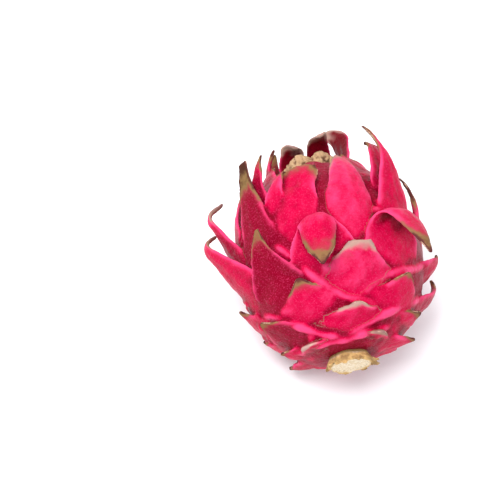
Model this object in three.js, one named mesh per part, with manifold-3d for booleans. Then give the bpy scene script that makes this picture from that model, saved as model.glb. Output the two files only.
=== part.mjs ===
// A red dragon fruit (pitaya), as picked, lying on its side.
// The rind, the fleshy scales that grow out of it and the flesh inside are one solid. The woody
// stub of the stem and the withered base of the flower are pieces of their own at its two ends.
// Millimetres. +Y runs from the stem end to the flower end, +Z is up, and the fruit rests on Z = 0.
import * as THREE from "three";
import { mergeVertices } from "three/addons/utils/BufferGeometryUtils.js";
import Module from "manifold-3d";

const wasm = await Module();
wasm.setup();

const rad = THREE.MathUtils.degToRad;

// ---- Driving dimensions -------------------------------------------------------------------------
const bodyLength = 104; // stem pole to flower pole, without the scales
const bodyDiameter = 92; // at the equator, without the scales
const shoulder = 0.92; // under 1 fills out the shoulders of the rind's outline
const stemDimple = { depth: 3, radius: 13 };
const flowerDimple = { depth: 7, radius: 15 };
const axisRise = 4; // degrees that the flower end is propped up by its scales

const rootDepth = 2.4; // a scale starts this far inside the rind
const rootLift = 8; // degrees that it leaves the rind at
const scaleRootThickness = 5.2;
const scaleTipThickness = 1.2;
const scaleEdgeThickness = 1.1;

const flatDepth = 4.0; // how far the underside gives way
const pressedDepth = 1.4; // how much of that ends as the flat it rests on
const squashRange = 1.6; // height over which it gives way

// The dry pieces. Each level is a height from the bottom of its dimple and a share of the radius.
const stub = {
  radius: 10.5,
  squeeze: 0.86,
  lumps: 5,
  swell: 0.08,
  levels: [
    [-5, 0.78],
    [1, 0.9],
    [4.5, 1.06],
    [6.5, 1],
    [6.2, 0.72],
    [7.2, 0.2],
  ],
};
const remnant = {
  radius: 14,
  squeeze: 0.8,
  lumps: 7,
  swell: 0.07,
  levels: [
    [-4, 0.75],
    [3, 0.9],
    [8, 1.04],
    [11, 0.92],
    [12, 0.6],
    [10.5, 0.2],
  ],
};
const pieceGap = 0.3; // between the fruit and the two dry pieces

// ---- The scales ---------------------------------------------------------------------------------
// around: degrees round the fruit's axis from its top, towards +X. root: where the scale leaves the
// rind, from -1 at the stem pole to 1 at the flower pole. length and width: of the blade. rise and
// tip: degrees that its middle and its tip stand off the rind. side: how far its tip leans towards
// +X. fold: the share of the length at which the blade turns back by foldBy degrees, over foldSpan
// of the length to each side. taper: 1 for straight sides, more for full ones. blunt: the share of
// the width left at the tip. shares: the widths themselves, as shares, at shares of the length.
// cup: the curve across the tip, against the rind's. twist: degrees that the tip is turned about the
// scale's own middle line.
const SCALES = [
  // round the stem: short and broad, with dry tips turned out
  { name: "collar_1", around: 36, root: -0.96, length: 13, width: 22, rise: 26, tip: 30 },
  { name: "collar_2", around: 92, root: -0.96, length: 20, width: 22, rise: 18, tip: 28 },
  { name: "collar_3", around: 146, root: -0.96, length: 16, width: 22, rise: 8, tip: 6 },
  { name: "collar_4", around: 204, root: -0.96, length: 16, width: 22, rise: 8, tip: 6 },
  { name: "collar_5", around: 265, root: -0.94, length: 16, width: 22, rise: 20, tip: 24, side: 4 },
  { name: "collar_6", around: 304, root: -0.96, length: 14, width: 24, rise: 26, tip: 30 },
  { name: "collar_7", around: 128, root: -0.93, length: 20, width: 18, rise: 18, tip: 21, side: 2 },
  { name: "collar_8", around: 220, root: -0.93, length: 23, width: 20, rise: 22, tip: 25 },
  // lower rows: wide shields
  { name: "shield_1", around: 359, root: -0.88, length: 16, width: 34, rise: 18, tip: 22, side: 4 },
  { name: "shield_2", around: 68, root: -0.86, length: 16, width: 32, rise: 22, tip: 34, side: 4 },
  { name: "shield_3", around: 120, root: -0.88, length: 26, width: 33, rise: 8, tip: 6 },
  { name: "shield_4", around: 180, root: -0.88, length: 24, width: 34, rise: 6, tip: 0 },
  { name: "shield_5", around: 240, root: -0.88, length: 26, width: 33, rise: 8, tip: 10 },
  { name: "shield_6", around: 290, root: -0.88, length: 24, width: 32, rise: 17, tip: 28 },
  { name: "shield_7", around: 328, root: -0.76, length: 22, width: 33, rise: 17, tip: 26, side: 3 },
  { name: "shield_8", around: 44, root: -0.78, length: 22, width: 36, rise: 17, tip: 22 },
  { name: "shield_9", around: 95, root: -0.73, length: 36, width: 34, rise: 27, tip: -12, side: 10,
    shares: [[0, 1], [0.3, 0.9], [0.6, 0.45], [0.8, 0.18], [1, 0.06]] },
  { name: "shield_10", around: 152, root: -0.77, length: 28, width: 34, rise: 6, tip: 0 },
  { name: "shield_11", around: 208, root: -0.77, length: 28, width: 34, rise: 6, tip: 0 },
  { name: "shield_12", around: 262, root: -0.77, length: 30, width: 34, rise: 11, tip: 22 },
  // middle rows
  { name: "middle_1", around: 7, root: -0.64, length: 25, width: 36, rise: 18, tip: 25, blunt: 0.3,
    side: 3 },
  { name: "middle_2", around: 84, root: -0.43, length: 24, width: 30, rise: 42, tip: -8, cup: 3,
    side: 6 },
  { name: "middle_3", around: 125, root: -0.54, length: 34, width: 34, rise: 8, tip: 6 },
  { name: "middle_4", around: 180, root: -0.54, length: 32, width: 34, rise: 5, tip: 0 },
  { name: "middle_5", around: 236, root: -0.54, length: 34, width: 34, rise: 8, tip: 8 },
  { name: "middle_6", around: 285, root: -0.45, length: 57, width: 30, rise: 37, tip: 46, cup: 3,
    fold: 0.77, foldBy: -57, shares: [[0, 1], [0.3, 0.9], [0.6, 0.42], [0.8, 0.16], [1, 0.12]],
    side: -19 },
  { name: "middle_7", around: 312, root: -0.56, length: 38, width: 32, rise: 22, tip: 16, taper: 0.95,
    side: 4 },
  { name: "middle_8", around: 349, root: -0.43, length: 59, width: 33, rise: 6, tip: 8, fold: 0.46,
    foldBy: 190, foldSpan: 0.18, cup: -7,
    shares: [[0, 1], [0.2, 0.95], [0.4, 0.56], [0.6, 0.56], [0.8, 0.4], [1, 0.05]], side: -1 },
  { name: "middle_9", around: 36, root: -0.39, length: 57, width: 34, rise: 12, tip: 60, fold: 0.44,
    foldBy: 156, side: 3, cup: -2, shares: [[0, 1], [0.25, 1], [0.5, 0.6], [0.75, 0.4], [1, 0.06]],
    foldSpan: 0.16 },
  { name: "middle_10", around: 92, root: -0.27, length: 36, width: 32, rise: 15, tip: 24 },
  { name: "middle_11", around: 152, root: -0.27, length: 36, width: 32, rise: 6, tip: 0 },
  { name: "middle_12", around: 208, root: -0.27, length: 36, width: 32, rise: 6, tip: 0 },
  { name: "middle_13", around: 279, root: -0.17, length: 55, width: 28, rise: 44, tip: 100, cup: 3,
    fold: 0.78, foldBy: -94, shares: [[0, 1], [0.25, 0.8], [0.5, 0.36], [0.75, 0.16], [1, 0.14]],
    side: -7 },
  // shoulder: long and fleshy, with free tips
  { name: "shoulder_1", around: 10, root: -0.17, length: 56, width: 25, rise: 14, tip: 2, side: 3,
    shares: [[0, 0.6], [0.2, 0.9], [0.4, 0.92], [0.6, 0.72], [0.78, 0.44], [0.9, 0.26], [1, 0.06]] },
  { name: "shoulder_2", around: 43, root: 0, length: 56, width: 24, rise: 38, tip: 26, side: -8,
    shares: [[0, 1], [0.3, 0.9], [0.6, 0.4], [0.75, 0.14], [1, 0.08]] },
  { name: "shoulder_3", around: 75, root: -0.07, length: 34, width: 16, rise: 24, tip: -9, taper: 0.8,
    side: -15, shares: [[0, 1], [0.25, 0.8], [0.45, 0.35], [0.6, 0.2], [0.8, 0.14], [1, 0.08]] },
  { name: "shoulder_4", around: 112, root: 0.1, length: 42, width: 27, rise: 18, tip: 24 },
  { name: "shoulder_5", around: 180, root: 0.12, length: 40, width: 27, rise: 12, tip: 22 },
  { name: "shoulder_6", around: 246, root: 0.1, length: 42, width: 27, rise: 18, tip: 24 },
  { name: "shoulder_7", around: 270, root: 0.08, length: 46, width: 23, rise: 20, tip: 20 },
  { name: "shoulder_8", around: 308, root: -0.12, length: 51, width: 26, rise: 30, tip: 58, side: 4,
    shares: [[0, 0.9], [0.2, 1], [0.45, 0.7], [0.7, 0.4], [0.9, 0.3], [1, 0.24]] },
  { name: "shoulder_9", around: 337, root: -0.17, length: 44, width: 24, rise: 15, tip: 18, side: 4,
    shares: [[0, 0.5], [0.25, 0.8], [0.6, 0.92], [0.9, 0.9], [1, 0.72]] },
  { name: "shoulder_10", around: 324, root: 0.1, length: 31, width: 15, rise: 30, tip: -14, side: 7 },
  // neck: close over the flower end
  { name: "neck_1", around: 352, root: 0.6, length: 19, width: 26, rise: 8, tip: 6 },
  { name: "neck_2", around: 38, root: 0.58, length: 25, width: 26, rise: 13, tip: 18 },
  { name: "neck_3", around: 88, root: 0.62, length: 32, width: 28, rise: 22, tip: 34 },
  { name: "neck_4", around: 136, root: 0.64, length: 32, width: 28, rise: 24, tip: 34 },
  { name: "neck_5", around: 188, root: 0.64, length: 31, width: 28, rise: 22, tip: 34 },
  { name: "neck_6", around: 240, root: 0.64, length: 32, width: 28, rise: 26, tip: 36 },
  { name: "neck_7", around: 296, root: 0.62, length: 26, width: 26, rise: 18, tip: 20 },
  // crown: narrow and upright round the withered flower
  { name: "crown_1", around: 31, root: 0.18, length: 30, width: 16, rise: 4, tip: 6, side: 1,
    taper: 1.6 },
  { name: "crown_2", around: 41, root: 0.29, length: 41, width: 15, rise: 38, tip: -6, side: 3,
    shares: [[0, 0.9], [0.3, 1], [0.7, 0.75], [0.85, 0.5], [1, 0.1]] },
  { name: "crown_3", around: 71, root: 0.85, length: 40, width: 14, rise: 74, tip: 2, side: 6,
    shares: [[0, 1.7], [0.2, 1.4], [0.45, 1], [0.7, 0.8], [0.9, 0.5], [1, 0.25]], twist: -75 },
  { name: "crown_4", around: 143, root: 0.92, length: 43, width: 15, rise: 55, tip: -27, side: -17,
    shares: [[0, 1], [0.5, 1], [0.8, 0.9], [0.95, 0.6], [1, 0.3]] },
  { name: "crown_5", around: 218, root: 0.91, length: 35, width: 17, rise: 70, tip: -30, side: 10,
    shares: [[0, 0.9], [0.5, 1], [0.8, 0.95], [0.95, 0.6], [1, 0.3]] },
  { name: "crown_6", around: 222, root: 0.71, length: 40, width: 24, rise: 52, tip: 40, side: 4 },
  { name: "crown_7", around: 279, root: 0.8, length: 26, width: 11, rise: 57, tip: 35, side: 6 },
  { name: "crown_8", around: 310, root: 0.3, length: 31, width: 13, rise: 49, tip: 34, side: 11 },
];

const group = new THREE.Group();
const halfLength = bodyLength / 2;
const equator = bodyDiameter / 2;
const axis = new THREE.Vector3(0, 1, 0);

// ---- From a surface to a closed solid -----------------------------------------------------------

// Joins rows of points, each a ring of the same count, into one closed surface; `closeEnd` gives
// the faces that fill the first and the last ring.
function shellOf(rows, closeEnd) {
  const count = rows[0].length;
  const faces = [];
  for (let r = 0; r + 1 < rows.length; r++) {
    for (let i = 0; i < count; i++) {
      const [a, b] = [r * count + i, r * count + ((i + 1) % count)];
      faces.push(a, b, b + count, a, b + count, a + count);
    }
  }
  faces.push(...closeEnd(0, count, true));
  faces.push(...closeEnd((rows.length - 1) * count, count, false));
  const geometry = new THREE.BufferGeometry().setFromPoints(rows.flat());
  geometry.setIndex(faces);
  return geometry;
}

// Closes a ring with a fan of triangles from its first point.
function closeFan(start, count, first) {
  const faces = [];
  for (let i = 1; i + 1 < count; i++) {
    const [b, c] = first ? [start + i + 1, start + i] : [start + i, start + i + 1];
    faces.push(start, b, c);
  }
  return faces;
}

// Closes the end of a blade, whose ring runs along its outer face and back along its inner one.
function closeBlade(start, count, first) {
  const faces = [];
  for (let i = 0; i + 1 < count / 2; i++) {
    const [a, b] = [start + i, start + i + 1];
    const [c, d] = [start + count - 1 - i, start + count - 2 - i];
    faces.push(...(first ? [a, d, b, a, c, d] : [a, b, d, a, d, c]));
  }
  return faces;
}

function solidOf(geometry) {
  geometry.deleteAttribute("normal");
  geometry.deleteAttribute("uv");
  const merged = mergeVertices(geometry, 1e-4);
  const mesh = new wasm.Mesh({
    numProp: 3,
    vertProperties: merged.attributes.position.array,
    triVerts: new Uint32Array(merged.index.array),
  });
  return new wasm.Manifold(mesh);
}

function geometryOf(solid) {
  const { vertProperties, triVerts } = solid.getMesh();
  const geometry = new THREE.BufferGeometry();
  geometry.setAttribute("position", new THREE.BufferAttribute(vertProperties, 3));
  geometry.setIndex(new THREE.BufferAttribute(triVerts, 1));
  return geometry;
}

// Keeps the largest of the surfaces that a solid is bounded by, which fills the pockets that
// overlapping scales close off from the air.
function withoutPockets(geometry) {
  const faces = geometry.index.array;
  const joined = Array.from({ length: geometry.attributes.position.count }, (_, i) => i);
  const surfaceOf = (i) => {
    while (joined[i] !== i) i = joined[i] = joined[joined[i]];
    return i;
  };
  for (let i = 0; i < faces.length; i += 3) {
    joined[surfaceOf(faces[i])] = surfaceOf(faces[i + 1]);
    joined[surfaceOf(faces[i + 1])] = surfaceOf(faces[i + 2]);
  }
  const kept = new Map();
  for (let i = 0; i < faces.length; i += 3) {
    const surface = surfaceOf(faces[i]);
    if (!kept.has(surface)) kept.set(surface, []);
    kept.get(surface).push(faces[i], faces[i + 1], faces[i + 2]);
  }
  const largest = [...kept.values()].sort((a, b) => b.length - a.length)[0];
  geometry.setIndex(largest);
  return mergeVertices(geometry);
}

// ---- The rind -----------------------------------------------------------------------------------

// The outline of the rind at a turn from the stem pole (0) to the flower pole (PI), as the distance
// out from the axis and the place along it: an ellipse with full shoulders and a dimple at each end.
function outline(turn) {
  const out = equator * Math.max(0, Math.sin(turn)) ** shoulder;
  const { depth, radius } = turn < Math.PI / 2 ? stemDimple : flowerDimple;
  const dimple = depth * Math.exp(-((out / radius) ** 2));
  return { out, along: -Math.cos(turn) * (halfLength - dimple) };
}

// The turn at which the outline reaches a place along the axis, as an ellipse without dimples.
function turnAt(along) {
  return Math.acos(THREE.MathUtils.clamp(-along / halfLength, -1, 1));
}

// The point on the rind at a turn and an angle round the axis, with the way up the rind towards the
// flower end, the way out of it, and the way across.
function rindFrame(turn, around) {
  const step = 0.01;
  const [here, before, after] = [turn, turn - step, turn + step].map(outline);
  const slope = new THREE.Vector2(after.out - before.out, after.along - before.along).normalize();
  const radial = new THREE.Vector3(Math.sin(around), 0, Math.cos(around));
  return {
    point: radial.clone().multiplyScalar(here.out).addScaledVector(axis, here.along),
    up: radial.clone().multiplyScalar(slope.x).addScaledVector(axis, slope.y),
    out: radial.clone().multiplyScalar(slope.y).addScaledVector(axis, -slope.x),
    across: new THREE.Vector3(Math.cos(around), 0, -Math.sin(around)),
  };
}

function rindShell() {
  const rowCount = 20;
  const aroundCount = 30;
  const poleGap = 0.03;
  const rows = [];
  for (let r = 0; r <= rowCount; r++) {
    const turn = poleGap + (Math.PI - 2 * poleGap) * (r / rowCount);
    const row = [];
    for (let i = 0; i < aroundCount; i++) {
      row.push(rindFrame(turn, (2 * Math.PI * i) / aroundCount).point);
    }
    rows.push(row);
  }
  return shellOf(rows, closeFan);
}

// ---- The scales ---------------------------------------------------------------------------------

// The share of its width that a scale has at a share `along` of its length: full from its root to
// a quarter of the way up, then running out to its tip, unless its own widths are given.
function widthShare({ taper = 1.25, blunt = 0.05, shares }, along) {
  if (shares) {
    const next = Math.max(1, shares.findIndex(([place]) => place >= along));
    const [[start, low], [end, high]] = [shares[next - 1], shares[next]];
    return THREE.MathUtils.lerp(low, high, (along - start) / (end - start));
  }
  const widest = 0.25;
  if (along < widest) return 0.8 + 0.2 * Math.sin((Math.PI / 2) * (along / widest));
  return blunt + (1 - blunt) * (1 - ((along - widest) / (1 - widest)) ** taper);
}

// How far a scale has turned out from the rind at its root, at a share `along` of its length. The
// rind curves away beneath it; off that it stands by a parabola through its angles at the root, the
// middle and the tip, and by the turn of its fold.
function turnOut({ length, rise, tip, fold, foldBy = 0, foldSpan = 0.12 }, along) {
  const followed = (along * length) / halfLength;
  const byRoot = (1 - along) * (1 - 2 * along) * rootLift;
  const byMiddle = 4 * along * (1 - along) * rise;
  const byTip = along * (2 * along - 1) * tip;
  const folded = foldBy * THREE.MathUtils.smoothstep(along, fold - foldSpan, fold + foldSpan);
  return rad(byRoot + byMiddle + byTip + (foldBy ? folded : 0)) - followed;
}

// The ring round a scale at a share `along` of its length, whose middle is at `middle`.
function scaleRing(scale, frame, middle, along) {
  const widthSteps = 4;
  const angle = turnOut(scale, along);
  const facing = frame.out.clone().multiplyScalar(Math.cos(angle));
  facing.addScaledVector(frame.up, -Math.sin(angle));
  const halfWidth = (scale.width / 2) * widthShare(scale, along);
  const halfEdge = scaleEdgeThickness / 2;
  const halfMiddle = THREE.MathUtils.lerp(scaleRootThickness, scaleTipThickness, along) / 2;
  const curve = THREE.MathUtils.lerp(1, scale.cup ?? 1.6, along) / equator;
  const lean = (scale.side ?? 0) * along ** 2;
  const twist = rad(scale.twist ?? 0) * THREE.MathUtils.smoothstep(along, 0, 1);
  const ring = [];
  for (const face of [1, -1]) {
    for (let i = 0; i <= widthSteps; i++) {
      const share = face * ((2 * i) / widthSteps - 1);
      const x = share * halfWidth;
      const thick = halfEdge + (halfMiddle - halfEdge) * (1 - share * share) ** 0.7;
      const off = face * thick - (curve * x * x) / 2;
      const across = x * Math.cos(twist) - off * Math.sin(twist);
      const point = middle.clone().addScaledVector(frame.across, across + lean);
      ring.push(point.addScaledVector(facing, x * Math.sin(twist) + off * Math.cos(twist)));
    }
  }
  return ring;
}

function scaleShell(scale) {
  const lengthSteps = scale.fold ? 10 : 6;
  const strides = 8; // of the middle line, to each length step
  const stride = scale.length / (strides * lengthSteps);
  const frame = rindFrame(turnAt(scale.root * halfLength), rad(scale.around));
  const middle = frame.point.clone().addScaledVector(frame.out, -rootDepth);
  const rows = [];
  for (let r = 0; r <= lengthSteps; r++) {
    rows.push(scaleRing(scale, frame, middle, r / lengthSteps));
    for (let i = 0; i < strides; i++) {
      const heading = turnOut(scale, (r + (i + 0.5) / strides) / lengthSteps);
      middle.addScaledVector(frame.up, stride * Math.cos(heading));
      middle.addScaledVector(frame.out, stride * Math.sin(heading));
    }
  }
  return shellOf(rows, closeBlade);
}

// ---- The dry pieces at the two ends -------------------------------------------------------------

// A lumpy stump standing on the pole of one end, at -1 the stem and at 1 the flower. `levels` gives
// its height from the bottom of the dimple and its share of the radius there; `gap` enlarges it all
// round, for the socket that holds it.
function stumpShell({ radius, squeeze, lumps, swell, levels }, end, gap) {
  const aroundCount = 32;
  const pole = outline(end < 0 ? 0 : Math.PI).along;
  const last = levels.length - 1;
  const rows = levels.map(([height, share], level) => {
    const reach = level === 0 ? -gap : level >= last - 2 ? gap : 0; // the last three cap it
    const row = [];
    for (let i = 0; i < aroundCount; i++) {
      const around = (2 * Math.PI * i) / aroundCount;
      const lump = 1 + swell * Math.sin(lumps * around);
      const out = radius * share * lump;
      const x = (out + gap) * Math.sin(around);
      const z = (out * squeeze + gap) * Math.cos(around);
      row.push(new THREE.Vector3(end * x, pole + end * (height + reach), z));
    }
    return row;
  });
  return shellOf(rows, closeFan);
}

// ---- Lying on its side --------------------------------------------------------------------------

const turned = (geometry) => geometry.rotateX(rad(axisRise));

function lowest(geometries) {
  const heights = geometries.map((geometry) => {
    geometry.computeBoundingBox();
    return geometry.boundingBox.min.z;
  });
  return Math.min(...heights);
}

// A height once the underside has given way: unchanged high up, and squeezed together near 0.
function squashed(height) {
  return squashRange * Math.log(1 + Math.exp(height / squashRange));
}

// Lays a turned shape down, so that the underside gives way and its flat comes at Z = 0.
function laid(geometry, lowestPoint) {
  const position = geometry.attributes.position;
  for (let i = 0; i < position.count; i++) {
    const height = position.getZ(i) - lowestPoint - flatDepth;
    position.setZ(i, squashed(height) - squashed(pressedDepth - flatDepth));
  }
  return geometry;
}

const rind = turned(rindShell());
const scales = SCALES.map((scale) => turned(scaleShell(scale)));
const lowestPoint = lowest([rind, ...scales]);
const stemStub = turned(stumpShell(stub, -1, 0));
const flowerRemnant = turned(stumpShell(remnant, 1, 0));
const stemSocket = turned(stumpShell(stub, -1, pieceGap));
const flowerSocket = turned(stumpShell(remnant, 1, pieceGap));

const floor = new THREE.BoxGeometry(4 * bodyLength, 4 * bodyLength, bodyLength);
floor.translate(0, 0, -bodyLength / 2);

const fruit = scales
  .reduce(
    (solid, scale) => solid.add(solidOf(laid(scale, lowestPoint))),
    solidOf(laid(rind, lowestPoint)),
  )
  .subtract(solidOf(floor))
  .subtract(solidOf(laid(stemSocket, lowestPoint)))
  .subtract(solidOf(laid(flowerSocket, lowestPoint)));

const dryStem = solidOf(laid(stemStub, lowestPoint));
const dryFlower = solidOf(laid(flowerRemnant, lowestPoint));
const pieces = [
  { name: "fruit", solid: fruit, color: "#d93a68", roughness: 0.45 },
  { name: "stem_stub", solid: dryStem, color: "#cfb88a", roughness: 0.85 },
  { name: "flower_remnant", solid: dryFlower, color: "#b69a74", roughness: 0.9 },
];

// The origin is under the middle of the whole, on the surface it rests on.
for (const { name, solid, color, roughness } of pieces) {
  const geometry = withoutPockets(geometryOf(solid));
  const mesh = new THREE.Mesh(geometry, new THREE.MeshStandardMaterial({ color, roughness }));
  mesh.name = name;
  group.add(mesh);
}
const box = new THREE.Box3().setFromObject(group);
const middle = box.getCenter(new THREE.Vector3());
for (const mesh of group.children) mesh.geometry.translate(-middle.x, -middle.y, -box.min.z);

export default group;
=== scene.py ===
import math
import bpy
import numpy as np
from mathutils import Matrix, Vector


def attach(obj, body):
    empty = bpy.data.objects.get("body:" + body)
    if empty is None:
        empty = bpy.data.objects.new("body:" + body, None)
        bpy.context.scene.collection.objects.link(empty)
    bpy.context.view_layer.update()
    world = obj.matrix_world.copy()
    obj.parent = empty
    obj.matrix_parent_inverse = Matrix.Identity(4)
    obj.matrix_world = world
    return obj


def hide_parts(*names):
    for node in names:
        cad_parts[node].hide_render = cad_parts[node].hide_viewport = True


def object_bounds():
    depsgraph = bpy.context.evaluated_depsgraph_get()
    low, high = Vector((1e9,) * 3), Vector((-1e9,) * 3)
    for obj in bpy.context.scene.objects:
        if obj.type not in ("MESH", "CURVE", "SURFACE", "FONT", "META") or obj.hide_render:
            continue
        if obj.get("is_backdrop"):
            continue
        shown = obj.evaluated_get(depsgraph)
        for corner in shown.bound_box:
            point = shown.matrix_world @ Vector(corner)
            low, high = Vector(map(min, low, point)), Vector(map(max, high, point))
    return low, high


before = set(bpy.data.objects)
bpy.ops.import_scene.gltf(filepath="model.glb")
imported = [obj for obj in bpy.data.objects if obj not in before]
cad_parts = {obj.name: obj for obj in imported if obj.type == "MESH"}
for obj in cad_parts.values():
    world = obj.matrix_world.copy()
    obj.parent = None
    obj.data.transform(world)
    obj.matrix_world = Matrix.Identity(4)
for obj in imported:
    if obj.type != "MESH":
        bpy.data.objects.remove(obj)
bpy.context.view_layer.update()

# ---- The fruit ----------------------------------------------------------------------------------
# A ripe red dragon fruit, lying on its side: a leathery, waxy rind with fleshy scales growing out
# of it, each ending in a dry olive-brown tip. Rind and scales are one grown skin, so they are drawn
# one by one, fused into a single surface, and softened where one runs into the next.
half_length = 52.0
equator = 46.0
shoulder = 0.92
stem_dimple = (3.0, 13.0)
flower_dimple = (7.0, 15.0)
axis_rise = math.radians(4)
root_depth = 2.4
root_lift = 8.0
root_thickness = 5.2
tip_thickness = 1.6
edge_thickness = 2.2
fruit_centre = np.array([3.218, -9.889, 42.791])
squash_range = 1.6
floor_drop = 0.2874
millimetre = 0.001
metre = 1000

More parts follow.
